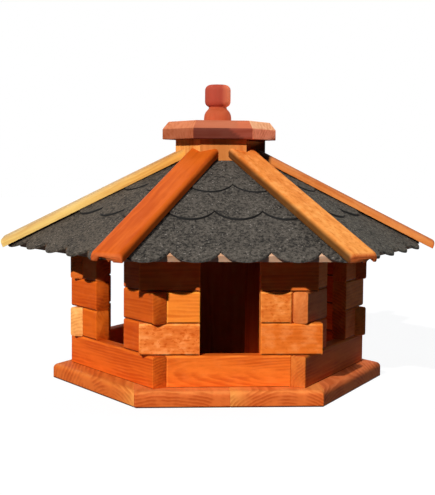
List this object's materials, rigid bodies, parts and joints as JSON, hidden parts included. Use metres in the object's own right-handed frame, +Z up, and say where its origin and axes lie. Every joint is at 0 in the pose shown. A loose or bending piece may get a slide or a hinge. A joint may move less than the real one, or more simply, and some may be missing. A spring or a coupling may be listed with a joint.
{
  "type": "bird feeder",
  "caption": "Six-sided log bird feeder with a shingled roof, hip battens, open doorways over a seed tray, and a central silo filled through a lift-off knobbed cap.",
  "frame": {"origin": "centre of the underside of the floor", "axes": "+Z up; the front flat side and its doorway face -Y; two corners of the hexagon lie on +X and -X"},
  "size_m": [0.6042, 0.544, 0.4086],
  "materials": {
    "floor": "glazed pine, rounded edge",
    "log": "glazed pine",
    "deck": "bare softwood",
    "shingle": "bitumen with mineral grit",
    "batten_orange": "glazed pine",
    "batten_red": "glazed pine",
    "batten_honey": "glazed pine",
    "silo": "light pine",
    "lid": "glazed end grain"
  },
  "bodies": {
    "feeder": {"floor_board_1": "floor", "floor_board_2": "floor", "floor_board_3": "floor", "floor_board_4": "floor", "rail_front": "log", "rail_front_right": "log", "rail_back_right": "log", "rail_back": "log", "rail_back_left": "log", "rail_front_left": "log", "logs_2_long": "log", "logs_2_short": "log", "logs_3_long": "log", "logs_3_short": "log", "logs_4_long": "log", "logs_4_short": "log", "logs_5_long": "log", "logs_5_short": "log", "deck_front": "deck", "deck_front_right": "deck", "deck_back_right": "deck", "deck_back": "deck", "deck_back_left": "deck", "deck_front_left": "deck", "shingles_front": "shingle", "shingles_front_right": "shingle", "shingles_back_right": "shingle", "shingles_back": "shingle", "shingles_back_left": "shingle", "shingles_front_left": "shingle", "batten_front_right": "batten_orange", "batten_right": "batten_orange", "batten_back_right": "batten_red", "batten_back_left": "batten_orange", "batten_left": "batten_honey", "batten_front_left": "batten_red", "silo": "silo"},
    "lid": {"lid_plug": "lid", "lid_cap": "lid", "lid_knob": "lid"}
  },
  "joints": [
    {"name": "lid_lift", "type": "slide", "parent": "feeder", "child": "lid", "axis": [0, 0, 1], "range_m": [0, 0.06]}
  ]
}
